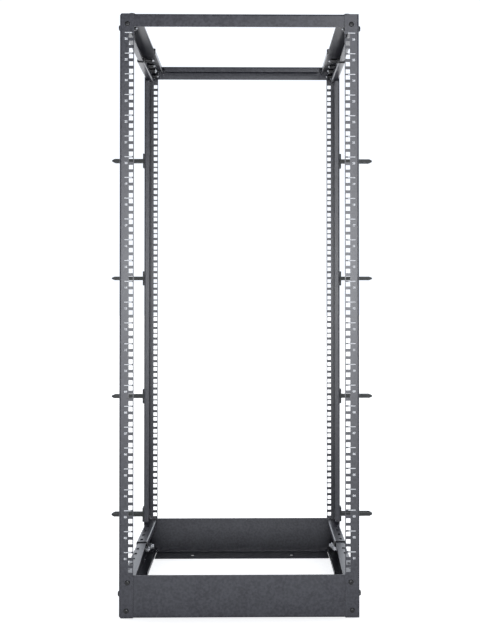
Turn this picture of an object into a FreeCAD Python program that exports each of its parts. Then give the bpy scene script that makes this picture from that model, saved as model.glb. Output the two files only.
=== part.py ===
"""Four post open frame rack, 26 units high, in folded sheet steel.

Millimetres. X runs across the rack, Y from front to rear, Z up. The origin is
on the floor at the middle of the base, and the front face looks along -Y.
"""
import FreeCAD, Part
import math
import os

# Sheet metal
SHEET = 2.0                 # steel sheet, all folded pieces
BEND = 1.5                  # inside radius of every fold

# Rack unit grid, as on any 19 inch rack
UNIT = 44.45                # height of one unit
UNITS = 26                  # units in a post
HOLES_PER_UNIT = 3
HOLE_STEP = 15.875          # between the holes of one unit
HOLE_FIRST = 6.35           # first hole above the unit's lower line
HOLE_SIDE = 9.5             # square hole for a cage nut
HOLE_SPACING = 465.1        # between the two hole columns
HOLE_EDGE = 6.55            # hole centre to the free edge of the flange
HOLE_TO_SIDE = 24.0         # hole centre to the post's outer face

# Whole frame
DEPTH = 600.0               # from front hole plane to rear hole plane
FOOT_MARGIN = 95.25         # floor to the lowest unit
HEAD_MARGIN = 41.15         # highest unit to the top

# Posts
POST_WEB = 63.0             # side web, front to rear
POST_LIP = 13.0             # return lip on the inner edge of the web
LIP_GAP = 5.0               # the lip ends this far from a side rail
CORNER_CUT = 4.0            # clipped outer corners of one post pattern

# Floor panels, front and rear
PANEL_HEIGHT = 91.0
PANEL_FLANGE = 72.0         # floor flange, front to rear
ANCHOR_SPACING = 260.0      # between the floor anchor holes of one panel
ANCHOR_INSET = 41.0         # anchor hole to the panel's face
ANCHOR_HOLE = 12.0

# Top beams, front and rear
BEAM_HEIGHT = 28.0
BEAM_FLANGE = 35.0          # top flange, over the ends of the side rails
BEAM_LIP = 13.0             # hangs from the flange's inner edge
BEAM_LIP_GAP = 6.4          # the lip ends this far from a side rail

# Side rails: the front half slides in the lipped rear half
RAIL_SEAM = 334.0           # front hole plane to the end of the rear half
RAIL_OVERLAP = 170.0        # length of the front half inside the rear half
RAIL_LIP = 12.0             # return lips of the rear half
RAIL_SLIDE = 0.3            # clearance all round between the two halves
RAIL_LIP_GAP = 0.6          # front half's flange edge to the rear half's lip
JOGGLE = 10.0               # length of the step that brings the front half out to the post
FLOOR_RAIL_HEIGHT = 88.0
FLOOR_RAIL_WIDTH = 26.8     # rear half, over web and lips
FLOOR_RAIL_FLARE = 8.1      # how much wider the front half's flanges are at the post
HEAD_RAIL_HEIGHT = 34.6
HEAD_RAIL_TOP = 43.6        # upper flange
HEAD_RAIL_LOW = 17.2        # lower flange
HEAD_RAIL_FLARE = 3.8

# Slots in the top flanges of the floor rails
RAIL_SLOT_LENGTH = 18.0
RAIL_SLOT_WIDTH = 6.5
RAIL_SLOT_PITCH = 50.0
RAIL_SLOT_INSET = 10.5      # slot's middle line to the rail's outer face
FRONT_ROW_START = 70.0      # front hole plane to the first slot of the front half
REAR_ROW_START = 24.0       # seam to the first slot of the rear half
ROW_MARGIN = 20.0           # least length left after the last slot's middle

# Cable rings on the rear posts
RINGS_PER_SIDE = 4
RING_PITCH = 310.0
RING_FIRST = 110.5          # floor to the lowest ring
RING_CENTRE = 41.0          # rear hole plane to the ring's middle
RING_REACH = 86.5           # how far a ring stands out from the post
RING_WIDTH = 22.0
RING_HEIGHT = 9.5
RING_BAR = 4.5              # thickness of the loop
RING_CHAMFER = 5.0          # cut across the loop's outer corners
RING_NOSE = 8.0             # length of the tapered outer end
RING_TIP = 3.5              # height left at the outer end
PLATE_HEIGHT = 37.0
PLATE_WIDTH = 26.0
PLATE_THICKNESS = 4.5

# Clearances
SIDE_GAP = 0.5              # between parts that lie end to end
OVERCUT = 1.0               # how far a cutter reaches past the sheet

# Worked out from the sizes above
WIDTH = HOLE_SPACING + 2 * HOLE_TO_SIDE
HEIGHT = FOOT_MARGIN + UNITS * UNIT + HEAD_MARGIN
HALF_WIDTH = WIDTH / 2
HALF_DEPTH = DEPTH / 2
FLANGE_EDGE = HOLE_SPACING / 2 - HOLE_EDGE
WEB_INSIDE = HALF_WIDTH - SHEET
PLATE_FACE = HALF_DEPTH - SHEET
PANEL_BACK = PLATE_FACE - SHEET
CROSS_HALF = WEB_INSIDE - BEND - SIDE_GAP
RAIL_END = PANEL_BACK - BEND - SIDE_GAP
NEST = SHEET + RAIL_SLIDE
FLOOR_RAIL_NARROW = FLOOR_RAIL_WIDTH - SHEET - RAIL_LIP_GAP
FLOOR_RAIL_WIDE = FLOOR_RAIL_NARROW + FLOOR_RAIL_FLARE
HEAD_RAIL_NARROW = HEAD_RAIL_LOW - SHEET - RAIL_LIP_GAP
HEAD_RAIL_WIDE = HEAD_RAIL_NARROW + HEAD_RAIL_FLARE
SEAM = RAIL_SEAM - HALF_DEPTH
HEAD_RAIL_CEILING = HEIGHT - SHEET
HEAD_RAIL_FLOOR = HEAD_RAIL_CEILING - HEAD_RAIL_HEIGHT


def in_plan(across, along, height):
    """Point of an outline drawn from above."""
    return FreeCAD.Vector(across, along, height)


def in_cross_section(across, height, along):
    """Point of an outline drawn from the front."""
    return FreeCAD.Vector(across, along, height)


def in_side_section(along, height, across):
    """Point of an outline drawn from the side."""
    return FreeCAD.Vector(across, along, height)


def rounded_wire(corners, place, level):
    """Closed wire through corners (u, v, radius), in the plane that place sets."""
    count = len(corners)
    points = [FreeCAD.Vector(u, v, 0) for u, v, radius in corners]
    stretches = []
    for i, (u, v, radius) in enumerate(corners):
        back = (points[i - 1] - points[i]).normalize()
        ahead = (points[(i + 1) % count] - points[i]).normalize()
        half_angle = back.getAngle(ahead) / 2
        reach = radius / math.tan(half_angle)
        middle = (back + ahead).normalize() * (radius / math.sin(half_angle) - radius)
        stretches.append((points[i] + back * reach, points[i] + middle, points[i] + ahead * reach))
    edges = []
    for i, (entry, middle, leave) in enumerate(stretches):
        if corners[i][2] > 0:
            arc = [place(p.x, p.y, level) for p in (entry, middle, leave)]
            edges.append(Part.Arc(*arc).toShape())
        following = stretches[(i + 1) % count][0]
        start = place(leave.x, leave.y, level)
        end = place(following.x, following.y, level)
        edges.append(Part.LineSegment(start, end).toShape())
    return Part.Wire(edges)


def prism(corners, place, start, end):
    """Solid between two levels with a rounded outline."""
    face = Part.Face(rounded_wire(corners, place, start))
    return face.extrude(place(0, 0, end) - place(0, 0, start))


def sharp(points):
    """Outline corners with no radius."""
    return [(u, v, 0) for u, v in points]


def bent_strip(line, thickness, bend):
    """Section of a bent strip whose outer face follows line, with the strip on its right."""
    points = [FreeCAD.Vector(u, v, 0) for u, v in line]
    normals = []
    for tail, head in zip(points, points[1:]):
        run = (head - tail).normalize()
        normals.append(FreeCAD.Vector(run.y, -run.x, 0))
    inner = [points[0] + normals[0] * thickness]
    for point, before, after in zip(points[1:], normals, normals[1:]):
        inner.append(point + (before + after) * (thickness / (1 + before.dot(after))))
    inner.append(points[-1] + normals[-1] * thickness)
    last = len(points) - 1
    wide = bend + thickness if bend > 0 else 0
    outside = [(p.x, p.y, wide if 0 < i < last else 0) for i, p in enumerate(points)]
    inside = [(p.x, p.y, bend if 0 < i < last else 0) for i, p in enumerate(inner)]
    return outside + inside[::-1]


def folded(line):
    """Section of a folded sheet, with the sheet on the right of line."""
    return bent_strip(line, SHEET, BEND)


def drill(across, along, top, radius):
    """Round cutter down through a level sheet whose upper face is at top."""
    foot = FreeCAD.Vector(across, along, top - SHEET - OVERCUT)
    return Part.makeCylinder(radius, SHEET + 2 * OVERCUT, foot)


def across(shape):
    """The same piece on the other side of the rack."""
    return shape.mirror(FreeCAD.Vector(0, 0, 0), FreeCAD.Vector(1, 0, 0))


def front_to_rear(shape):
    """The same piece at the other end of the rack."""
    return shape.mirror(FreeCAD.Vector(0, 0, 0), FreeCAD.Vector(0, 1, 0))


def square_holes():
    """Cutters for the whole column of square holes in the left front flange."""
    cutters = []
    left = -HOLE_SPACING / 2 - HOLE_SIDE / 2
    for unit in range(UNITS):
        for row in range(HOLES_PER_UNIT):
            middle = FOOT_MARGIN + unit * UNIT + HOLE_FIRST + row * HOLE_STEP
            corner = FreeCAD.Vector(left, -HALF_DEPTH - OVERCUT, middle - HOLE_SIDE / 2)
            cutters.append(Part.makeBox(HOLE_SIDE, SHEET + 2 * OVERCUT, HOLE_SIDE, corner))
    return cutters


def lip_cutters():
    """Boxes that clear the post's return lip where the side rails pass it."""
    inner = -HALF_WIDTH + SHEET
    near = -HALF_DEPTH + POST_WEB - SHEET - BEND
    size = (POST_LIP, SHEET + BEND)
    low = FLOOR_RAIL_HEIGHT + LIP_GAP
    high = HEAD_RAIL_FLOOR - LIP_GAP
    corner = FreeCAD.Vector(inner, near, 0)
    top_corner = FreeCAD.Vector(inner, near, high)
    foot = Part.makeBox(size[0], size[1], low, corner)
    head = Part.makeBox(size[0], size[1], HEIGHT - high, top_corner)
    return [foot, head]


def corner_cutters():
    """Wedges that clip the outer corners at both ends of a post."""
    cutters = []
    for level, inward in ((0, 1), (HEIGHT, -1)):
        outline = [(-HALF_WIDTH, level), (-HALF_WIDTH + CORNER_CUT, level),
                   (-HALF_WIDTH, level + inward * CORNER_CUT)]
        wedge = prism(sharp(outline), in_cross_section, -HALF_DEPTH, -HALF_DEPTH + POST_WEB)
        cutters.append(wedge)
    return cutters


def post(clipped):
    """Left front post: flange with square holes, side web and return lip."""
    section = folded([(-FLANGE_EDGE, -HALF_DEPTH), (-HALF_WIDTH, -HALF_DEPTH),
                      (-HALF_WIDTH, -HALF_DEPTH + POST_WEB),
                      (-HALF_WIDTH + POST_LIP, -HALF_DEPTH + POST_WEB)])
    blank = prism(section, in_plan, 0, HEIGHT)
    cutters = square_holes() + lip_cutters()
    if clipped:
        cutters += corner_cutters()
    return blank.cut(Part.Compound(cutters))


def floor_panel(rail_width):
    """Front floor panel: tall web, and a floor flange that fits between rails of this width."""
    section = folded([(-PLATE_FACE + PANEL_FLANGE, 0), (-PLATE_FACE, 0),
                      (-PLATE_FACE, PANEL_HEIGHT)])
    blank = prism(section, in_side_section, -CROSS_HALF, CROSS_HALF)
    notch_side = WEB_INSIDE - rail_width - SIDE_GAP
    notch = [(-CROSS_HALF, -PANEL_BACK), (-notch_side, -PANEL_BACK),
             (-notch_side, -PLATE_FACE + PANEL_FLANGE), (-CROSS_HALF, -PLATE_FACE + PANEL_FLANGE)]
    clearing = prism(sharp(notch), in_plan, 0, SHEET + BEND)
    cutters = [clearing, across(clearing)]
    for side in (-1, 1):
        cutters.append(drill(side * ANCHOR_SPACING / 2, -HALF_DEPTH + ANCHOR_INSET, SHEET,
                             ANCHOR_HOLE / 2))
    return blank.cut(Part.Compound(cutters))


def head_beam():
    """Front top beam: a web, a flange over the side rails, and a stiffening lip between them."""
    edge = -PLATE_FACE + BEAM_FLANGE
    section = folded([(-PLATE_FACE, HEIGHT - BEAM_HEIGHT), (-PLATE_FACE, HEIGHT),
                      (edge, HEIGHT), (edge, HEIGHT - BEAM_LIP)])
    blank = prism(section, in_side_section, -CROSS_HALF, CROSS_HALF)
    lip_end = WEB_INSIDE - HEAD_RAIL_TOP - BEAM_LIP_GAP
    fold = SHEET + BEND
    corner = FreeCAD.Vector(-CROSS_HALF, edge - fold, HEIGHT - BEAM_LIP)
    clearing = Part.makeBox(CROSS_HALF - lip_end, fold, BEAM_LIP, corner)
    return blank.cut(Part.Compound([clearing, across(clearing)]))


def slot(place, top):
    """Cutter for a slot along the top flange of a left floor rail, its upper face at top."""
    radius = RAIL_SLOT_WIDTH / 2
    run = RAIL_SLOT_LENGTH - RAIL_SLOT_WIDTH
    middle = -WEB_INSIDE + RAIL_SLOT_INSET
    corner = FreeCAD.Vector(middle - radius, place - run / 2, top - SHEET - OVERCUT)
    body = Part.makeBox(RAIL_SLOT_WIDTH, run, SHEET + 2 * OVERCUT, corner)
    ends = [drill(middle, place + side * run / 2, top, radius) for side in (-1, 1)]
    return body.fuse(ends)


def slot_row(start, end, top):
    """Cutters for the slots along a left floor rail, as many as fit from start to end."""
    count = int((end - ROW_MARGIN - start) / RAIL_SLOT_PITCH) + 1
    return [slot(start + i * RAIL_SLOT_PITCH, top) for i in range(count)]


def rear_half(low, high, low_width, top_width):
    """Rear half of a left side rail: a lipped channel that opens towards the rack's middle."""
    low_edge = -WEB_INSIDE + low_width
    top_edge = -WEB_INSIDE + top_width
    section = folded([(low_edge, low + RAIL_LIP), (low_edge, low), (-WEB_INSIDE, low),
                      (-WEB_INSIDE, high), (top_edge, high), (top_edge, high - RAIL_LIP)])
    return prism(section, in_cross_section, SEAM, RAIL_END)


def front_channel(low, high, low_width, top_width, inset):
    """Outline of the front half's channel, drawn in from the rear half's by inset."""
    return folded([(-WEB_INSIDE + low_width, low + inset), (-WEB_INSIDE + inset, low + inset),
                   (-WEB_INSIDE + inset, high - inset), (-WEB_INSIDE + top_width, high - inset)])


def front_half(low, high, low_width, top_width):
    """Front half of a left side rail: a channel, full size at the post and stepped in to slide."""
    full = front_channel(low, high, low_width, top_width, 0)
    slim = front_channel(low, high, low_width, top_width, NEST)
    step_start = -HALF_DEPTH + POST_WEB + SIDE_GAP
    step_end = step_start + JOGGLE
    seat = prism(full, in_cross_section, -RAIL_END, step_start)
    wires = [rounded_wire(full, in_cross_section, step_start),
             rounded_wire(slim, in_cross_section, step_end)]
    step = Part.makeLoft(wires, True, True)
    slide = prism(slim, in_cross_section, step_end, SEAM + RAIL_OVERLAP)
    return seat.fuse([step, slide]).removeSplitter()


def flare_cutter(wide, narrow, low, high):
    """Wedge that narrows a front half's flanges from the post to the seam."""
    tail = SEAM + RAIL_OVERLAP
    outline = [(-WEB_INSIDE + wide, -RAIL_END), (-WEB_INSIDE + narrow, SEAM),
               (-WEB_INSIDE + narrow, tail), (-WEB_INSIDE + wide, tail)]
    return prism(sharp(outline), in_plan, low, high)


def floor_rail_rear():
    """Rear half of the left floor rail."""
    channel = rear_half(0, FLOOR_RAIL_HEIGHT, FLOOR_RAIL_WIDTH, FLOOR_RAIL_WIDTH)
    slots = slot_row(SEAM + REAR_ROW_START, HALF_DEPTH - POST_WEB, FLOOR_RAIL_HEIGHT)
    return channel.cut(Part.Compound(slots))


def floor_rail_front():
    """Front half of the left floor rail."""
    channel = front_half(0, FLOOR_RAIL_HEIGHT, FLOOR_RAIL_WIDE, FLOOR_RAIL_WIDE)
    wedge = flare_cutter(FLOOR_RAIL_WIDE, FLOOR_RAIL_NARROW, 0, FLOOR_RAIL_HEIGHT)
    slots = slot_row(FRONT_ROW_START - HALF_DEPTH, SEAM, FLOOR_RAIL_HEIGHT - NEST)
    return channel.cut(Part.Compound([wedge] + slots))


def head_rail_rear():
    """Rear half of the left top rail."""
    return rear_half(HEAD_RAIL_FLOOR, HEAD_RAIL_CEILING, HEAD_RAIL_LOW, HEAD_RAIL_TOP)


def head_rail_front():
    """Front half of the left top rail."""
    top = HEAD_RAIL_TOP - SHEET - RAIL_LIP_GAP
    channel = front_half(HEAD_RAIL_FLOOR, HEAD_RAIL_CEILING, HEAD_RAIL_WIDE, top)
    middle = (HEAD_RAIL_FLOOR + HEAD_RAIL_CEILING) / 2
    return channel.cut(flare_cutter(HEAD_RAIL_WIDE, HEAD_RAIL_NARROW, HEAD_RAIL_FLOOR, middle))


def cable_ring(level):
    """Left cable ring: a loop with a tapered nose on a base plate."""
    middle = HALF_DEPTH - RING_CENTRE
    root = -HALF_WIDTH - PLATE_THICKNESS
    tip = -HALF_WIDTH - RING_REACH
    near = middle - RING_WIDTH / 2
    far = middle + RING_WIDTH / 2
    low = level - RING_HEIGHT / 2
    high = level + RING_HEIGHT / 2
    line = [(root, near), (tip + RING_CHAMFER, near), (tip, near + RING_CHAMFER),
            (tip, far - RING_CHAMFER), (tip + RING_CHAMFER, far), (root, far)]
    loop = prism(bent_strip(line, RING_BAR, 0), in_plan, low, high)
    nose = [(root, low), (tip + RING_NOSE, low), (tip, level - RING_TIP / 2),
            (tip, level + RING_TIP / 2), (tip + RING_NOSE, high), (root, high)]
    envelope = prism(sharp(nose), in_cross_section, near, far)
    plate = Part.makeBox(PLATE_THICKNESS, PLATE_WIDTH, PLATE_HEIGHT,
                         FreeCAD.Vector(root, middle - PLATE_WIDTH / 2, level - PLATE_HEIGHT / 2))
    return loop.common(envelope).fuse(plate).removeSplitter()


def rack():
    """Every piece of the rack by name."""
    plain = post(False)
    clipped = post(True)
    rear_panel = front_to_rear(floor_panel(FLOOR_RAIL_WIDTH))
    beam = head_beam()
    pieces = {
        "front_left_post": clipped,
        "front_right_post": across(plain),
        "rear_left_post": front_to_rear(plain),
        "rear_right_post": across(front_to_rear(clipped)),
        "bottom_front_panel": floor_panel(FLOOR_RAIL_WIDE),
        "bottom_rear_panel": rear_panel,
        "top_front_beam": beam,
        "top_rear_beam": front_to_rear(beam),
    }
    left_rails = {
        "bottom_{}_rail_front": floor_rail_front(),
        "bottom_{}_rail_rear": floor_rail_rear(),
        "top_{}_rail_front": head_rail_front(),
        "top_{}_rail_rear": head_rail_rear(),
    }
    for name, rail in left_rails.items():
        pieces[name.format("left")] = rail
        pieces[name.format("right")] = across(rail)
    for i in range(RINGS_PER_SIDE):
        ring = cable_ring(RING_FIRST + i * RING_PITCH)
        pieces["cable_ring_left_{}".format(i + 1)] = ring
        pieces["cable_ring_right_{}".format(i + 1)] = across(ring)
    return pieces


os.makedirs("parts", exist_ok=True)
for name, shape in rack().items():
    shape.exportStep("parts/{}.step".format(name))
    print(name, shape.ShapeType, "valid", shape.isValid(), "solids", len(shape.Solids),
          "volume", round(shape.Volume), "faces", len(shape.Faces))
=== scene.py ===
# %% [markdown]
# # Dressing a four post open frame rack
#
# The construction model gives every folded sheet its true shape: four posts, two panels, two
# beams, four pairs of side rails and eight cable rings. What it leaves out is what is painted,
# printed or screwed on. This lesson adds those, one kind at a time, and then builds the studio.
# Everything is in metres, in the construction model's own frame.

# %% Load the frame
import math

import bmesh
import bpy
from mathutils import Matrix, Vector


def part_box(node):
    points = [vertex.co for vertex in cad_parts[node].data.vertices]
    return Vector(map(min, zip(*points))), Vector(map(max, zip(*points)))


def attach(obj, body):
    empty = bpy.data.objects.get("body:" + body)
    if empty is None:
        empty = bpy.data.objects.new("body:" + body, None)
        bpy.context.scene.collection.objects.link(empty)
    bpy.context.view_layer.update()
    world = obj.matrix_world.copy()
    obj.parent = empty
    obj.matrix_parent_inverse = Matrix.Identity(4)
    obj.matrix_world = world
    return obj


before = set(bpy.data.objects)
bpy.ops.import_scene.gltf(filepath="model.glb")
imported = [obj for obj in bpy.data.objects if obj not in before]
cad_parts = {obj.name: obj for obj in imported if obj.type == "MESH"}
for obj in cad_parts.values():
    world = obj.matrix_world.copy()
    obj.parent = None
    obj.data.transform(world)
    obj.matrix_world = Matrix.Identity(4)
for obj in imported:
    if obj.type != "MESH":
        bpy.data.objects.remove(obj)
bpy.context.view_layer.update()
print("frame pieces:", len(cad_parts))

# %% [markdown]
# ## Places
#
# A fastener or a printed line has to sit exactly on the sheet that carries it, so the sheets'
# places are read from the frame's boxes. Only what no box shows is given, such as the
# sheets' thickness and the gap between the nested halves of a rail.

# %% Read the sheets' places
post_low, post_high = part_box("front_left_post")
rail_low, rail_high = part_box("bottom_left_rail_rear")
head_low, head_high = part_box("top_left_rail_rear")

SHEET = 0.002                           # thickness of every folded sheet
NEST_GAP = 0.0003                       # between the nested webs of a rail's two halves
SIDE = -post_low.x                      # outer face of the posts' webs
FACE = -post_low.y                      # outer face of the posts' flanges
TOP = post_high.z
POST_MIDDLE = -(post_low.y + post_high.y) / 2
RAIL_SIDE = -rail_low.x                 # outer face of the rails' webs
POST_INSIDE = RAIL_SIDE - SHEET         # inner face of a rail's web beside a post
NESTED_INSIDE = RAIL_SIDE - 2 * SHEET - NEST_GAP    # and where the two halves overlap
SEAM = rail_low.y                       # where the rear half of a rail starts
print("posts stand", round(2 * SIDE, 4), "m wide and", round(TOP, 4), "m high")

# %% [markdown]
# ## Helpers for meshes
#
# Each new piece starts as a bmesh, is moved to its place there, and becomes an object at the
# origin. A piece is smooth shaded where its faces meet at less than a set angle, so rounded
# heads look round and their edges stay crisp. Every piece rides on the rack's only body.

# %% Turn a bmesh into a finished piece
SMOOTH_ANGLE = math.radians(35)
SAME_PLACE = 1e-6                       # points nearer than this are one


def finish_piece(name, shape, material, slot):
    """Makes an object of shape and hands it to the frame."""
    bmesh.ops.remove_doubles(shape, verts=shape.verts, dist=SAME_PLACE)
    bmesh.ops.recalc_face_normals(shape, faces=shape.faces)
    for edge in shape.edges:
        sharp = len(edge.link_faces) != 2 or edge.calc_face_angle(0) > SMOOTH_ANGLE
        edge.smooth = not sharp
    for face in shape.faces:
        face.smooth = True
    mesh = bpy.data.meshes.new(name)
    shape.to_mesh(mesh)
    shape.free()
    mesh.materials.append(material)
    piece = bpy.data.objects.new(name, mesh)
    bpy.context.scene.collection.objects.link(piece)
    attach(piece, "root")


print("smooth below", round(math.degrees(SMOOTH_ANGLE)), "degrees")


# %% Copy a part to its place
def verts_of(geometry):
    return [g for g in geometry if isinstance(g, bmesh.types.BMVert)]


def copy_into(shape, part, place):
    """Adds a copy of part to shape, moved by the matrix place."""
    moved = part.copy()
    bmesh.ops.transform(moved, matrix=place, verts=moved.verts)
    mesh = bpy.data.meshes.new("copied")
    moved.to_mesh(mesh)
    moved.free()
    shape.from_mesh(mesh)
    bpy.data.meshes.remove(mesh)


def facing(point, direction, turn=0.0):
    """Matrix that puts a part's foot at point, with its own +Z along direction."""
    turned = Vector(direction).to_track_quat("Z", "Y").to_matrix().to_4x4()
    return Matrix.Translation(point) @ turned @ Matrix.Rotation(turn, 4, "Z")


print("mesh helpers:", [helper.__name__ for helper in (finish_piece, copy_into, facing)])

# %% [markdown]
# ## Shader helpers
#
# Materials are node trees. A few short functions keep them readable. One adds a node with its
# settings, and one feeds a socket with a fixed value or with another node's output. The rest
# add one kind of step each: a calculation, a mix, a change of range, a noise or coordinates.

# %% Add nodes one step at a time
def add_node(tree, kind, label, **settings):
    made = tree.nodes.new(kind)
    made.label = label
    for name, value in settings.items():
        setattr(made, name, value)
    return made


def feed(tree, value, socket):
    """Gives a socket a fixed value, or joins it to another node's output."""
    if isinstance(value, bpy.types.NodeSocket):
        tree.links.new(value, socket)
    else:
        socket.default_value = value


def calculate(tree, operation, label, *values):
    made = add_node(tree, "ShaderNodeMath", label, operation=operation)
    for value, socket in zip(values, made.inputs):
        feed(tree, value, socket)
    return made.outputs[0]


def blend(tree, kind, factor, first, second, label):
    """Mixes two colours (kind RGBA) or two numbers (kind FLOAT)."""
    made = add_node(tree, "ShaderNodeMix", label, data_type=kind)
    for name, value in (("Factor", factor), ("A", first), ("B", second)):
        feed(tree, value, made.inputs[name])
    return made.outputs["Result"]


def change_range(tree, value, old, new, label, **settings):
    """Maps the range between the two numbers of old onto the two of new."""
    made = add_node(tree, "ShaderNodeMapRange", label, **settings)
    for name, limit in zip(("From Min", "From Max", "To Min", "To Max"), (*old, *new)):
        made.inputs[name].default_value = limit
    feed(tree, value, made.inputs["Value"])
    return made.outputs[0]


def add_noise(tree, where, size, detail, label):
    """A noise whose patches are about size metres across."""
    made = add_node(tree, "ShaderNodeTexNoise", label)
    made.inputs["Detail"].default_value = detail
    feed(tree, where.outputs["Object"], made.inputs["Vector"])
    feed(tree, calculate(tree, "DIVIDE", "per metre", 1.0, size), made.inputs["Scale"])
    return made.outputs["Fac"]


def coordinates(tree, kind):
    """The X, Y and Z outputs of one kind of coordinates."""
    where = add_node(tree, "ShaderNodeTexCoord", "coordinates")
    apart = add_node(tree, "ShaderNodeSeparateXYZ", "coordinates apart")
    tree.links.new(where.outputs[kind], apart.inputs[0])
    return apart.outputs


print("node helpers:", [helper.__name__ for helper in (calculate, blend, change_range, add_noise)])

# %% [markdown]
# ## Groups and materials
#
# Effects that several finishes share are node groups with named sockets, so they are built once
# and tuned by their inputs. A new material already has a Principled shader, and every finish
# here starts from that one.

# %% Start groups and materials
def new_group(name, inputs, outputs):
    group = bpy.data.node_groups.new(name, "ShaderNodeTree")
    for label, default in inputs:
        socket = group.interface.new_socket(label, in_out="INPUT", socket_type="NodeSocketFloat")
        socket.default_value = default
    for label, kind in outputs:
        group.interface.new_socket(label, in_out="OUTPUT", socket_type=kind)
    return group, add_node(group, "NodeGroupInput", "in"), add_node(group, "NodeGroupOutput", "out")


def place_group(tree, group, **values):
    made = add_node(tree, "ShaderNodeGroup", group.name)
    made.node_tree = group
    for name, value in values.items():
        made.inputs[name.replace("_", " ")].default_value = value
    return made


def new_material(name):
    material = bpy.data.materials.new(name)
    material.use_nodes = True
    return material, material.node_tree, material.node_tree.nodes["Principled BSDF"]


print("group helpers:", [helper.__name__ for helper in (new_group, place_group, new_material)])

# %% [markdown]
# ## Grain
#
# Powder coat is a thin melted film. It pulls itself into low rounded cells about half a
# millimetre across, called orange peel. A textured coat also has specks a few millimetres
# across, where more or less powder landed, and over a large sheet it varies slowly in thickness.
# The group gives the height of the cells for a bump, and the specks and the slow mottle for
# colour and gloss. The same group, at another scale, is the fine texture of moulded plastic.

# %% Build the grain group
grain, group_in, group_out = new_group(
    "film_grain",
    [("Cell Size", 0.0006), ("Speck Size", 0.004), ("Mottle Size", 0.08)],
    [("Height", "NodeSocketFloat"), ("Speck", "NodeSocketFloat"), ("Mottle", "NodeSocketFloat")])
where = add_node(grain, "ShaderNodeTexCoord", "object coordinates")
for output, size, detail in (("Height", "Cell Size", 2.0), ("Speck", "Speck Size", 3.0),
                             ("Mottle", "Mottle Size", 4.0)):
    field = add_noise(grain, where, group_in.outputs[size], detail, output)
    feed(grain, field, group_out.inputs[output])
print("group", grain.name)

# %% [markdown]
# ## Edge wear
#
# Paint is thinner and more polished along an edge. Cycles can round an edge's normal, and where
# that differs from the true normal there is an edge nearby. A noise breaks the band up so that
# it looks rubbed and not drawn. The same rounded normal also catches a fine highlight on folded
# sheet, so the group hands it on.

# %% Build the edge group
EDGE_BAND = (0.99, 0.80)                # how alike the normals are where wear starts, and is full
EDGE_BREAKS = (0.40, 0.62)              # the noise's values between which the band breaks up
EDGE_DETAIL = 5.0

edges, group_in, group_out = new_group(
    "rubbed_edge",
    [("Width", 0.0008), ("Patch Size", 0.01)],
    [("Mask", "NodeSocketFloat"), ("Rounded Normal", "NodeSocketVector")])
where = add_node(edges, "ShaderNodeTexCoord", "object coordinates")
rounded = add_node(edges, "ShaderNodeBevel", "rounded", samples=4)
feed(edges, group_in.outputs["Width"], rounded.inputs["Radius"])
true_normal = add_node(edges, "ShaderNodeNewGeometry", "true normal")
alike = add_node(edges, "ShaderNodeVectorMath", "how alike", operation="DOT_PRODUCT")
feed(edges, rounded.outputs[0], alike.inputs[0])
feed(edges, true_normal.outputs["Normal"], alike.inputs[1])
band = change_range(edges, alike.outputs["Value"], EDGE_BAND, (0, 1), "edge band")
patches = add_noise(edges, where, group_in.outputs["Patch Size"], EDGE_DETAIL, "patches")
broken = change_range(edges, patches, EDGE_BREAKS, (0, 1), "broken up")
mask = calculate(edges, "MULTIPLY", "edge mask", band, broken)
feed(edges, mask, group_out.inputs["Mask"])
feed(edges, rounded.outputs[0], group_out.inputs["Rounded Normal"])
print("group", edges.name)

# %% [markdown]
# ## Powder coated steel
#
# The rack is a dark grey with a slight blue cast, between satin and semi-gloss: it stays nearly
# black head on and turns light where the eye skims along it. That is a plain dielectric with a
# dark base. The mottle and the specks shift its colour, the specks shift its roughness a little
# too, the cells make the bump, and the edges are a touch lighter.

# %% Make the steel finish
PAINT_DARK = (0.0115, 0.0118, 0.0185, 1)
PAINT_LIGHT = (0.0205, 0.0215, 0.0285, 1)
PAINT_SPECK = (0.0440, 0.0445, 0.0580, 1)
PAINT_WORN = (0.085, 0.088, 0.098, 1)
PAINT_ROUGH = (0.295, 0.34)
SPECK_SHARE = 0.55                      # how much of the speck colour shows at most
WEAR_SHARE = 0.5
NOISE_MIDDLE = (0.36, 0.64)             # most of a noise's values lie between these


def add_bump(tree, shader, height, strength, distance, normal=None):
    """Gives a finish its fine relief, on top of a rounded normal where there is one."""
    relief = add_node(tree, "ShaderNodeBump", "relief")
    relief.inputs["Strength"].default_value = strength
    relief.inputs["Distance"].default_value = distance
    feed(tree, height, relief.inputs["Height"])
    if normal is not None:
        feed(tree, normal, relief.inputs["Normal"])
    feed(tree, relief.outputs[0], shader.inputs["Normal"])


steel, tree, shader = new_material("powder_coated_steel")
film = place_group(tree, grain, Cell_Size=0.0007, Speck_Size=0.0050, Mottle_Size=0.04)
rubbed = place_group(tree, edges, Width=0.0006, Patch_Size=0.012)
slow = change_range(tree, film.outputs["Mottle"], NOISE_MIDDLE, (0, 1), "slow mottle")
coat = blend(tree, "RGBA", slow, PAINT_DARK, PAINT_LIGHT, "mottled paint")
specks = change_range(tree, film.outputs["Speck"], NOISE_MIDDLE, (0, SPECK_SHARE), "specks")
coat = blend(tree, "RGBA", specks, coat, PAINT_SPECK, "specked paint")
faint = calculate(tree, "MULTIPLY", "faint wear", rubbed.outputs["Mask"], WEAR_SHARE)
worn = blend(tree, "RGBA", faint, coat, PAINT_WORN, "rubbed edges")
feed(tree, worn, shader.inputs["Base Color"])
gloss = change_range(tree, film.outputs["Speck"], NOISE_MIDDLE, PAINT_ROUGH, "uneven gloss")
feed(tree, gloss, shader.inputs["Roughness"])
add_bump(tree, shader, film.outputs["Height"], strength=0.25, distance=0.00005,
         normal=rubbed.outputs["Rounded Normal"])
print("finish", steel.name)
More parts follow.
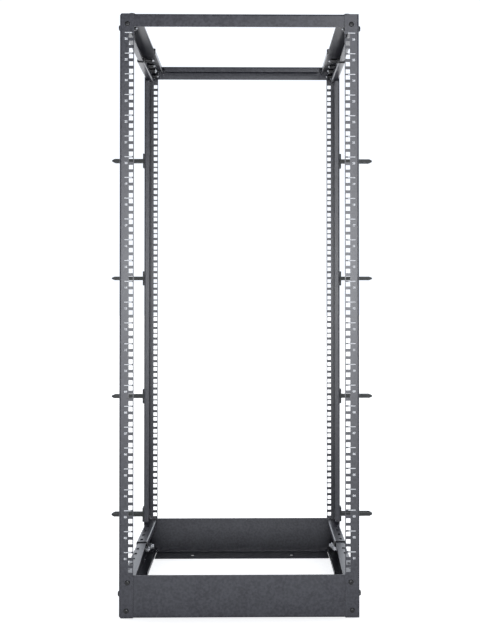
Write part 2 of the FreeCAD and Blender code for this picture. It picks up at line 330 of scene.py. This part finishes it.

# %% [markdown]
# ## Cut ends
#
# Where the rear half of a rail starts, its sheet was cut by a laser. The cut face sits in the
# shadow of the gap between the two halves, so it reads as a thin dark outline against the pale
# flanges. That shade is painted: it is the same finish with one more colour, a near black with a
# dull gloss, laid on wherever the surface lies in the plane of the cut.

# %% Copy the steel, paint shade on the cut and paint the frame
CUT_DEPTH = 0.0004                      # how far from the plane of the cut it is still dark
# painted shade: this near black and dull gloss stand for the shadow in the gap at the cut
CUT_SHADE_COLOUR = (0.004, 0.004, 0.004, 1)
CUT_SHADE_ROUGH = 0.8

shaded_cut_steel = steel.copy()
shaded_cut_steel.name = "powder_coated_steel_painted_cut_shade"
tree = shaded_cut_steel.node_tree
shader = tree.nodes["Principled BSDF"]
along = coordinates(tree, "Object")["Y"]
at_cut = calculate(tree, "COMPARE", "at the cut", along, SEAM, CUT_DEPTH)
painted = shader.inputs["Base Color"].links[0].from_socket
# paint the shade of the gap onto the cut face
shaded_cut_colour = blend(tree, "RGBA", at_cut, painted, CUT_SHADE_COLOUR, "painted shade at the cut")
feed(tree, shaded_cut_colour, shader.inputs["Base Color"])
shiny = shader.inputs["Roughness"].links[0].from_socket
dull = blend(tree, "FLOAT", at_cut, shiny, CUT_SHADE_ROUGH, "dull cut")
feed(tree, dull, shader.inputs["Roughness"])

for name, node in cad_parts.items():
    if "ring" not in name:
        node.data.materials.clear()
        node.data.materials.append(shaded_cut_steel if name.endswith("rail_rear") else steel)
print("painted steel on", sum("ring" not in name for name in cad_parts), "pieces")

# %% [markdown]
# ## Moulded plastic
#
# The cable rings are moulded in black plastic with a hint of green. Mould texture is finer than
# paint and quite even, so the same grain group is used with small cells, and colour and
# roughness vary only with its slow mottle.

# %% Make the ring finish
PLASTIC_DARK = (0.004, 0.006, 0.005, 1)
PLASTIC_LIGHT = (0.008, 0.011, 0.009, 1)
PLASTIC_ROUGH = (0.46, 0.58)


def mottle_colour(tree, shader, film, dark, light):
    colour = blend(tree, "RGBA", film.outputs["Mottle"], dark, light, "uneven colour")
    feed(tree, colour, shader.inputs["Base Color"])


def mottle_gloss(tree, shader, film, rough):
    gloss = change_range(tree, film.outputs["Mottle"], (0, 1), rough, "uneven gloss")
    feed(tree, gloss, shader.inputs["Roughness"])


plastic, tree, shader = new_material("moulded_black_plastic")
film = place_group(tree, grain, Cell_Size=0.0003, Mottle_Size=0.03)
mottle_colour(tree, shader, film, PLASTIC_DARK, PLASTIC_LIGHT)
mottle_gloss(tree, shader, film, PLASTIC_ROUGH)
add_bump(tree, shader, film.outputs["Height"], strength=0.2, distance=0.00003)

rings = [node for name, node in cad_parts.items() if "ring" in name]
for ring in rings:
    ring.data.materials.clear()
    ring.data.materials.append(plastic)
print("plastic on", len(rings), "rings")

# %% [markdown]
# ## Zinc, black screws and ink
#
# Most nuts and all bolt ends inside the rack are zinc plated, a pale metal with a soft uneven
# shine. The heads that show outside are blackened. The unit marks are a thin white screen
# print, slightly patchy where the ink is thin.

# %% Make the fastener and ink finishes
ZINC_DARK, ZINC_LIGHT = (0.55, 0.56, 0.58, 1), (0.72, 0.73, 0.75, 1)
BLACK_DARK, BLACK_LIGHT = (0.004, 0.004, 0.005, 1), (0.010, 0.010, 0.011, 1)
INK_THIN, INK_FULL = (0.50, 0.51, 0.53, 1), (0.74, 0.75, 0.77, 1)
INK_ROUGH = 0.55
ROUGH_SPREAD = 0.06                     # how far a fastener's roughness varies either way


def fastener_finish(name, dark, light, metallic, rough):
    material, tree, shader = new_material(name)
    film = place_group(tree, grain, Cell_Size=0.0004, Mottle_Size=0.004)
    rubbed = place_group(tree, edges, Width=0.0003, Patch_Size=0.002)
    mottle_colour(tree, shader, film, dark, light)
    mottle_gloss(tree, shader, film, (rough - ROUGH_SPREAD, rough + ROUGH_SPREAD))
    shader.inputs["Metallic"].default_value = metallic
    add_bump(tree, shader, film.outputs["Height"], strength=0.15, distance=0.00002,
             normal=rubbed.outputs["Rounded Normal"])
    return material


zinc = fastener_finish("zinc_plate", ZINC_DARK, ZINC_LIGHT, metallic=1.0, rough=0.34)
black = fastener_finish("blackened_screw", BLACK_DARK, BLACK_LIGHT, metallic=0.0, rough=0.40)

ink, tree, shader = new_material("white_screen_print")
film = place_group(tree, grain, Cell_Size=0.0003, Mottle_Size=0.004)
mottle_colour(tree, shader, film, INK_THIN, INK_FULL)
shader.inputs["Roughness"].default_value = INK_ROUGH
print("finishes:", [m.name for m in bpy.data.materials])

# %% [markdown]
# ## Screw heads
#
# The heads are low domes with a cross recess. A recess is awkward to cut into a dome, but easy
# to build from the middle outwards: a grid of three by three faces has a cross in it, its five
# faces are pushed down, the grid's rim is bridged to a circle, and the circle is drawn out and
# down ring by ring. The last ring is closed by one flat face.

# %% Draw a dome ring by ring
# From the recess to the foot, in shares of the head's radius and height.
DOME = ((0.66, 0.96), (0.86, 0.80), (0.97, 0.50), (1.0, 0.22), (1.0, 0.0))


def draw_rings(shape, loop, rings):
    """Extrudes a loop of edges through (radius, height) rings and returns the last loop."""
    radius = max(v.co.xy.length for e in loop for v in e.verts)
    for next_radius, height in rings:
        grown = bmesh.ops.extrude_edge_only(shape, edges=loop)["geom"]
        verts = verts_of(grown)
        for v in verts:
            v.co.xy *= next_radius / radius
            v.co.z = height
        loop = [g for g in grown if isinstance(g, bmesh.types.BMEdge)
                and all(v in verts for v in g.verts)]
        radius = next_radius
    return loop


print("rings of a dome:", len(DOME))

# %% Build the cross recessed heads
ROUND_STEPS = 24
CROSS_REACH = 0.42                      # half the recess, as a share of the head's radius
CROSS_ARM = 0.30                        # half an arm's width, as a share of half the recess
CROSS_TAPER = 0.62                      # the recess's floor, as a share of its rim
CROSS_FLOOR = 0.45                      # the floor's height, as a share of the head's


def cross_head(radius, height):
    shape = bmesh.new()
    half = radius * CROSS_REACH
    bmesh.ops.create_grid(shape, x_segments=3, y_segments=3, size=half)
    for v in shape.verts:
        v.co.xy = [math.copysign(half if abs(c) > half / 2 else half * CROSS_ARM, c)
                   for c in v.co.xy]
        v.co.z = height
    cross = [f for f in shape.faces if min(abs(c) for c in f.calc_center_median().xy) < half * 0.1]
    floor = verts_of(bmesh.ops.extrude_face_region(shape, geom=cross)["geom"])
    bmesh.ops.delete(shape, geom=cross, context="FACES")
    for v in floor:
        v.co.xy *= CROSS_TAPER
        v.co.z = height * CROSS_FLOOR
    rim = [e for e in shape.edges if e.is_boundary]
    rings = [(radius * across, height * up) for across, up in DOME]
    circle = bmesh.ops.create_circle(shape, segments=ROUND_STEPS, radius=rings[0][0])["verts"]
    for v in circle:
        v.co.z = rings[0][1]
    ring = [e for e in shape.edges if e.is_wire]
    bmesh.ops.bridge_loops(shape, edges=rim + ring)
    foot = draw_rings(shape, ring, rings[1:])
    bmesh.ops.holes_fill(shape, edges=foot, sides=ROUND_STEPS)
    return shape


head = cross_head(0.0065, 0.0058)           # side bolts of the front posts
top_head = cross_head(0.0078, 0.0036)       # screws through the beams' top flanges
small_head = cross_head(0.0055, 0.0026)     # screws through the posts' front and rear flanges
flat_head = cross_head(0.0060, 0.0022)      # all other bolts
print("faces of a head:", len(head.faces))

# %% [markdown]
# ## Nuts and bolt ends
#
# A nut is a hexagon with its corners turned off, and the bolt's end stands out of it. The
# hexagon is made from a circle of six sides, drawn up, and its outer edges are bevelled. The
# bolt end is turned: a saw-tooth outline is spun round, which reads as a thread at this size and
# costs few faces. A plain washer lies under the nut.

# %% Turn discs and threads, and cut a hexagon
END_STEPS = 12
THREAD_PITCH = 0.00125
THREAD_DEPTH = 0.55                     # as a share of the pitch
TIP_SHARE = 0.9                         # the tip's radius, as a share of the thread's core


def turned(outline, steps=ROUND_STEPS):
    """A shape spun round Z from an outline of (radius, height) points that ends on the axis."""
    shape = bmesh.new()
    verts = [shape.verts.new((radius, 0, height)) for radius, height in outline]
    lines = [shape.edges.new(pair) for pair in zip(verts, verts[1:])]
    bmesh.ops.spin(shape, geom=verts + lines, cent=(0, 0, 0), axis=(0, 0, 1),
                   angle=2 * math.pi, steps=steps, use_merge=True)
    bmesh.ops.remove_doubles(shape, verts=shape.verts, dist=SAME_PLACE)
    return shape


def disc(radius, low, high):
    return turned([(0, low), (radius, low), (radius, high), (0, high)])


def threaded_end(radius, start, length):
    """A bolt's end from start upwards: a saw-tooth outline with a narrower, flat tip."""
    core = radius - THREAD_PITCH * THREAD_DEPTH
    turns = int((length - 2 * THREAD_PITCH) / THREAD_PITCH)
    outline = [(0, start), (radius, start)]
    for i in range(turns):
        outline += [(core, start + (i + 0.5) * THREAD_PITCH),
                    (radius, start + (i + 1) * THREAD_PITCH)]
    outline += [(core * TIP_SHARE, start + length), (0, start + length)]
    return turned(outline, END_STEPS)


def hexagon(across_flats, height, bevel):
    shape = bmesh.new()
    bmesh.ops.create_circle(shape, cap_ends=True, segments=6,
                            radius=across_flats / math.sqrt(3))
    grown = bmesh.ops.extrude_face_region(shape, geom=shape.faces[:])["geom"]
    bmesh.ops.translate(shape, vec=(0, 0, height), verts=verts_of(grown))
    level = [e for e in shape.edges if abs(e.verts[0].co.z - e.verts[1].co.z) < SAME_PLACE]
    bmesh.ops.bevel(shape, geom=level, offset=bevel, affect="EDGES", segments=2, profile=0.5,
                    material=-1)
    return shape


print("faces of a threaded end:", len(threaded_end(0.003, 0, 0.009).faces))

# %% Build a nut with its washer and bolt end
M6, M8 = 0.006, 0.008                   # diameters of the threads
NUT_FLATS = {M6: 0.010, M8: 0.012}      # across the flats of the nuts
NUT_HEIGHT = 0.8                        # as a share of the thread
NUT_BEVEL = 0.04                        # as a share of the flats
WASHER = 0.0012
WASHER_REACH = 0.60                     # its radius, as a share of the flats
END_INSIDE = 0.7                        # where the modelled end starts, as a share of the thread
SHORT_END = 0.009                       # how far a short screw stands in from its sheet


def nut_and_washer(thread, seat):
    """A washer at height seat with its nut on top."""
    flats = NUT_FLATS[thread]
    shape = disc(flats * WASHER_REACH, seat, seat + WASHER)
    copy_into(shape, hexagon(flats, thread * NUT_HEIGHT, flats * NUT_BEVEL),
              Matrix.Translation((0, 0, seat + WASHER)))
    return shape


def bolt_end(thread, seat, reach):
    """The end of a bolt, from inside its nut out to reach."""
    start = seat + thread * END_INSIDE
    return threaded_end(thread / 2, start, reach - start)


short_nut = nut_and_washer(M6, 0.0)
short_end = bolt_end(M6, 0.0, SHORT_END)
print("faces of a nut and bolt end:", len(short_nut.faces) + len(short_end.faces))

# %% [markdown]
# ## Where the fasteners go
#
# The frame is symmetric, so each fastener is named once, for one corner, and mirrored across
# and front to rear. The clamping bolts that fix the rack's depth go through both halves of a
# rail where they overlap, so they are on the rear half only. Their nuts stand off the sheet on
# plain sleeves, so that a spanner clears the rail's lips, and each has its own stand-off. The
# nuts at the foot are bright zinc, those at the head are black with a bright bolt end. The black
# of the sleeves and of the nuts at the head is partly painted shade: it stands for the shadow
# inside the rails' channels, where these parts sit. All parts of one finish are one piece, which
# keeps the scene short.

# %% Name the fasteners' places
LOW_BOLT = 0.0445                       # side bolts of the posts, above the floor
HIGH_BOLT = TOP - 0.0245                # side bolts of the posts and clamping bolts at the head
LOW_CLAMP = 0.0505                      # clamping bolts at the foot
LOW_REACH = 0.011                       # how far a low side bolt stands in from its sheet
HIGH_SEAT, HIGH_END = 0.2310, 0.2225    # nut and end of a high side bolt, from the middle
# Clamping bolts: place along the rail, then the nut's seat and the bolt's end from the middle.
LOW_CLAMPS = ((0.120, 0.2400, 0.2290), (0.156, 0.2355, 0.2225))
HIGH_CLAMPS = ((0.068, 0.2265, 0.2165), (0.135, 0.2285, 0.2205), (0.190, 0.2300, 0.2215))
# Screws through the posts' flanges: place from the middle and height.
FACE_SCREWS = ((0.2405, TOP - 0.022), (0.2385, 0.0755), (0.2410, 0.0155))
TOP_SCREW = (0.232, 0.285)              # place across and along of the screw through the beam
print("clamping bolts on a side:", len(LOW_CLAMPS) + len(HIGH_CLAMPS))

# %% Add one bolt or one screw
SLEEVE_RADIUS = 0.0052
LEAST_SLEEVE = 0.001                    # a shorter stand-off has no sleeve
HEAD_TWIST, NUT_TWIST, SCREW_TWIST = 9, 7, 7    # radians a metre, so that no two line up
NUT_TURN = 0.3

heads, sleeves, nuts = bmesh.new(), bmesh.new(), bmesh.new()


def add_bolt(place, cap, sheets, seat, tip, thread, nut_to):
    """A side bolt: its head on the outside, its sleeve, nut and end on the inside.

    place is side, place along and height. sheets holds the outer and the inner face that it
    clamps, seat the foot of its nut and tip its end, all four from the rack's middle.
    """
    side, along, height = place
    outside, inside = sheets
    out = Vector((side, 0, 0))
    copy_into(heads, cap, facing((side * outside, along, height), out, along * HEAD_TWIST))
    inner = (side * inside, along, height)
    turn = facing(inner, -out, along * NUT_TWIST + NUT_TURN)
    copy_into(nut_to, nut_and_washer(thread, inside - seat), turn)
    copy_into(nuts, bolt_end(thread, inside - seat, inside - tip), turn)
    if inside - seat > LEAST_SLEEVE:
        copy_into(sleeves, disc(SLEEVE_RADIUS, 0, inside - seat), facing(inner, -out))


def add_screw(place, out, cap, turn, nut_turn):
    """A short screw through two sheets: its head at place, facing along out."""
    copy_into(heads, cap, facing(place, out, turn))
    behind = Vector(place) - 2 * SHEET * Vector(out)
    copy_into(nuts, short_nut, facing(behind, -Vector(out), nut_turn))
    copy_into(nuts, short_end, facing(behind, -Vector(out)))


print("sleeves of", 2 * SLEEVE_RADIUS, "m across")

# %% Build the fasteners
for side in (-1, 1):
    for end in (-1, 1):                 # front, then rear
        cap = head if end < 0 else flat_head
        sheets = (SIDE, POST_INSIDE)
        add_bolt((side, end * POST_MIDDLE, LOW_BOLT), cap, sheets,
                 POST_INSIDE, POST_INSIDE - LOW_REACH, M6, nuts)
        add_bolt((side, end * POST_MIDDLE, HIGH_BOLT), cap, sheets,
                 HIGH_SEAT, HIGH_END, M6, sleeves)
        for across, height in FACE_SCREWS:
            add_screw((side * across, end * FACE, height), (0, end, 0), small_head,
                      turn=height * SCREW_TWIST + side, nut_turn=0.2)
        add_screw((side * TOP_SCREW[0], end * TOP_SCREW[1], TOP), (0, 0, 1), top_head,
                  turn=side + end, nut_turn=0.5)
    for height, clamps, thread, nut_to in ((LOW_CLAMP, LOW_CLAMPS, M8, nuts),
                                           (HIGH_BOLT, HIGH_CLAMPS, M6, sleeves)):
        for along, seat, tip in clamps:
            add_bolt((side, along, height), flat_head, (RAIL_SIDE, NESTED_INSIDE),
                     seat, tip, thread, nut_to)
print("fasteners:", len(heads.faces) // len(head.faces))
finish_piece("screw_heads", heads, black, "frame_steel")
# the black sleeves and nuts at the head are partly painted shade for the channels' shadow
finish_piece("black_sleeves_and_nuts_partly_shade", sleeves, black, "frame_steel")
finish_piece("nuts_and_bolt_ends", nuts, zinc, "frame_steel")

# %% [markdown]
# ## Painted shade at the lip ends
#
# Where the rear half of a rail starts, the ends of its return lips sit in the shadow of the gap
# between the two halves and read as dark marks. A small black block with rounded edges is put
# over each. It is a block with rounded edges, because nothing of the slot that grips the lip
# can be seen. It is painted shade: a dark piece that stands for that shadow.

# %% Put blocks of painted shade on the ends of the rear halves' lips
SHADE_BLOCK_WIDTH = 0.0035
SHADE_BLOCK_LENGTH = 0.009
SHADE_BLOCK_PROUD = 0.0012                     # in front of the cut
SHADE_BLOCK_SHIFT = 0.0003                     # from the middle of the lip towards the rack's middle
SHADE_BLOCK_INSET = 0.0005                     # below or above the flange's outer face
SHADE_BLOCK_EDGE = 0.0003
LIP = 0.012                             # height of a return lip, flange included
HEAD_LOW_FLANGE = 0.0172                # width of the head rails' lower flange

block = bmesh.new()
bmesh.ops.create_cube(block, size=1)
lip_shade_blocks = bmesh.new()
along = SEAM - SHADE_BLOCK_PROUD + SHADE_BLOCK_LENGTH / 2
for side in (-1, 1):
    for lip_face, low, high in (
            (-head_high.x, head_high.z - LIP, head_high.z - SHADE_BLOCK_INSET),
            (RAIL_SIDE - HEAD_LOW_FLANGE, head_low.z + SHADE_BLOCK_INSET, head_low.z + LIP),
            (-rail_high.x, rail_high.z - LIP, rail_high.z - SHADE_BLOCK_INSET)):
        across = side * (lip_face + SHEET / 2 - SHADE_BLOCK_SHIFT)
        size = Matrix.Diagonal((SHADE_BLOCK_WIDTH, SHADE_BLOCK_LENGTH, high - low, 1))
        copy_into(lip_shade_blocks, block, Matrix.Translation((across, along, (low + high) / 2)) @ size)
print("edge clips:", len(lip_shade_blocks.faces) // len(block.faces))
bmesh.ops.bevel(lip_shade_blocks, geom=lip_shade_blocks.edges[:], offset=SHADE_BLOCK_EDGE, affect="EDGES", segments=2,
                profile=0.5, material=-1)
# these black blocks are painted shade for the dark lip ends
finish_piece("rail_lip_shade_blocks", lip_shade_blocks, black, "frame_steel")

# %% [markdown]
# ## Unit marks
#
# A short line is printed at the top of every unit, from the column of holes outwards, and the
# unit's number stands below it, always with two digits. The lines are thin blocks. The numbers
# are text turned into a mesh. Both stand only a few hundredths of a millimetre out of the
# paint, so they lie on it like ink.

# %% Make a number
INK = 0.00006                           # how far the print stands out
NUMBER_HEIGHT = 0.0043
DIGIT_SHARE = 0.7                       # a digit's height, as a share of the font's size
NUMBER_STROKE = 0.00030                 # drawn outwards all round, for a bold face


def number_shape(text):
    """A flat number, centred on the origin and facing -Y, with the ink's thickness."""
    curve = bpy.data.curves.new("number", "FONT")
    curve.body = text
    curve.size = NUMBER_HEIGHT / DIGIT_SHARE
    curve.align_x, curve.align_y = "CENTER", "CENTER"
    curve.extrude = INK
    curve.offset = NUMBER_STROKE
    curve.resolution_u = 2
    holder = bpy.data.objects.new("number", curve)
    mesh = bpy.data.meshes.new_from_object(holder)
    shape = bmesh.new()
    shape.from_mesh(mesh)
    bmesh.ops.transform(shape, matrix=Matrix.Rotation(math.pi / 2, 4, "X"), verts=shape.verts)
    bpy.data.objects.remove(holder)
    bpy.data.curves.remove(curve)
    bpy.data.meshes.remove(mesh)
    return shape


print("faces of a number:", len(number_shape("08").faces))

# %% Print the lines and numbers on both front posts
UNIT = 0.04445
UNITS = 26
FIRST_LINE = 0.09525                    # floor to the lowest unit's lower line
LINE_HEIGHT = 0.0017
NUMBER_DROP = 0.0137                    # from a line to the middle of its number
LINES = {"left": (-0.2458, -0.2302), "right": (0.2330, 0.2485)}
NUMBER_PLACES = {"left": -0.2428, "right": 0.2453}

for name, (left, right) in LINES.items():
    marks = bmesh.new()
    for unit in range(1, UNITS + 1):
        line_height = FIRST_LINE + unit * UNIT
        size = Matrix.Diagonal((right - left, 2 * INK, LINE_HEIGHT, 1))
        middle = Matrix.Translation(((left + right) / 2, -FACE, line_height))
        copy_into(marks, block, middle @ size)
        place = (NUMBER_PLACES[name], -FACE, line_height - NUMBER_DROP)
        copy_into(marks, number_shape(f"{unit:02d}"), Matrix.Translation(place))
    print(name, "marks:", len(marks.faces), "faces")
    finish_piece("unit_marks_" + name, marks, ink, "frame_steel")

# %% [markdown]
# ## Studio floor
#
# Dark paint shows mostly what it mirrors, so the studio is built around that. The wide white
# floor glows slightly, as a lit cove does, and more strongly far behind the rack, where it runs
# into the backdrop. Another strength is used where the floor itself is looked at, so that it
# stays clean white without lighting the rack from below.

# %% Lay the floor
FLOOR_REACH = 30
FLOOR_WHITE = (0.9, 0.9, 0.9, 1)
FLOOR_GLOW = 0.28                       # around the rack
FLOOR_REAR = 1.10                       # far behind the rack
FLOOR_RISE = (1.2, 3.5)                 # metres behind the rack, between which the glow grows
FLOOR_SEEN = 0.70                       # where the floor is looked at


def seen_or_not(tree, unseen, seen, label):
    """One strength for the light that reaches the rack, another for what the viewer sees."""
    rays = add_node(tree, "ShaderNodeLightPath", "rays")
    return blend(tree, "FLOAT", rays.outputs["Is Camera Ray"], unseen, seen, label)


floor_shape = bmesh.new()
bmesh.ops.create_grid(floor_shape, x_segments=1, y_segments=1, size=FLOOR_REACH)
floor_mesh = bpy.data.meshes.new("studio_floor")
floor_shape.to_mesh(floor_mesh)
floor_shape.free()
floor = bpy.data.objects.new("studio_floor", floor_mesh)
bpy.context.scene.collection.objects.link(floor)

white, tree, shader = new_material("studio_white")
shader.inputs["Base Color"].default_value = FLOOR_WHITE
shader.inputs["Roughness"].default_value = 0.9
shader.inputs["Emission Color"].default_value = (1, 1, 1, 1)
behind = coordinates(tree, "Object")["Y"]
rise = change_range(tree, behind, FLOOR_RISE, (FLOOR_GLOW, FLOOR_REAR), "brighter to the rear",
                    interpolation_type="SMOOTHSTEP")
glow = seen_or_not(tree, rise, FLOOR_SEEN, "glow")
feed(tree, glow, shader.inputs["Emission Strength"])
floor_mesh.materials.append(white)
print("floor of", 2 * FLOOR_REACH, "m")

# %% [markdown]
# ## Sky
#
# The sky stands for the rest of the room. Behind the rack is a bright backdrop, brightest near
# the floor, which gives the webs and flanges that run away from the viewer their pale sheen. The
# room behind the viewer is dim, so the faces that look forward stay dark. The direction that a
# ray takes drives both changes, and the viewer sees plain white.

# %% Light the room
SKY_COLOUR = (0.94, 0.98, 1.05, 1)
SKY_FRONT = 0.20                        # the room behind the viewer
SKY_REAR = 1.90                         # the lit backdrop, near the floor
SKY_DEPTH = (-0.4, 0.5)                 # directions between which front turns into rear
SKY_HIGH = 0.62                         # share of that light left higher up
SKY_FALL = (0.04, 0.42)                 # upward slopes between which it falls to that share
SKY_SEEN = 1.1                          # where the sky itself is looked at

scene = bpy.context.scene
scene.view_settings.view_transform = "Standard"
world = bpy.data.worlds.new("studio_sky")
world.use_nodes = True
tree = world.node_tree
sky = tree.nodes["Background"]
sky.inputs["Color"].default_value = SKY_COLOUR
toward = coordinates(tree, "Generated")
depth = change_range(tree, toward["Y"], SKY_DEPTH, (SKY_FRONT, SKY_REAR), "front to rear",
                     interpolation_type="SMOOTHSTEP")
fall = change_range(tree, toward["Z"], SKY_FALL, (1, SKY_HIGH), "dimmer above",
                    interpolation_type="SMOOTHSTEP")
both = calculate(tree, "MULTIPLY", "sky strength", depth, fall)
strength = seen_or_not(tree, both, SKY_SEEN, "white where it is seen")
feed(tree, strength, sky.inputs["Strength"])
scene.world = world
print("sky from", SKY_FRONT, "to", SKY_REAR)

# %% [markdown]
# ## Lamps
#
# One soft panel far in front lifts the faces that look forward a little. Because it is far
# away, it lights the rack nearly evenly from top to foot. A weak one from above right draws
# out the folds.

# %% Hang the soft panels
LAMP_COLOUR = (0.97, 0.99, 1.03)


def soft_panel(name, place, target, size, power):
    lamp = bpy.data.lights.new(name, "AREA")
    lamp.shape = "RECTANGLE"
    lamp.size = size
    lamp.size_y = size
    lamp.energy = power
    lamp.color = LAMP_COLOUR
    panel = bpy.data.objects.new(name, lamp)
    panel.location = place
    panel.rotation_euler = (Vector(target) - Vector(place)).to_track_quat("-Z", "Y").to_euler()
    scene.collection.objects.link(panel)


soft_panel("front_panel", (-0.01, -6.5, 0.84), target=(0, 0, 0.75), size=1.0, power=190)
soft_panel("high_panel", (0.75, -2.9, 1.75), target=(0, 0, 0.9), size=0.6, power=10)
print("lamps:", [lamp.name for lamp in bpy.data.lights])

# %% [markdown]
# ## Camera
#
# The camera stands a little right of the middle, about half way up. To frame the rack it is
# shifted more than it is tilted, as on a view camera, so that upright lines stay upright.

# %% Place the camera
SENSOR = 36                             # millimetres, along the frame's long side
LENS = 62.4
SHIFT = (-0.0458, -0.0677)              # shares of the frame's long side
STAND = (0.0303, -2.6741, 0.6947)
TILT = math.radians(0.79)               # upwards
PAN = math.radians(0.81)                # to the right

camera_data = bpy.data.cameras.new("camera")
camera_data.sensor_width = SENSOR
camera_data.lens = LENS
camera_data.shift_x, camera_data.shift_y = SHIFT
camera = bpy.data.objects.new("camera", camera_data)
camera.location = STAND
camera.rotation_euler = (math.pi / 2 + TILT, 0, -PAN)
scene.collection.objects.link(camera)
scene.camera = camera
print("camera", tuple(round(v, 3) for v in camera.location))
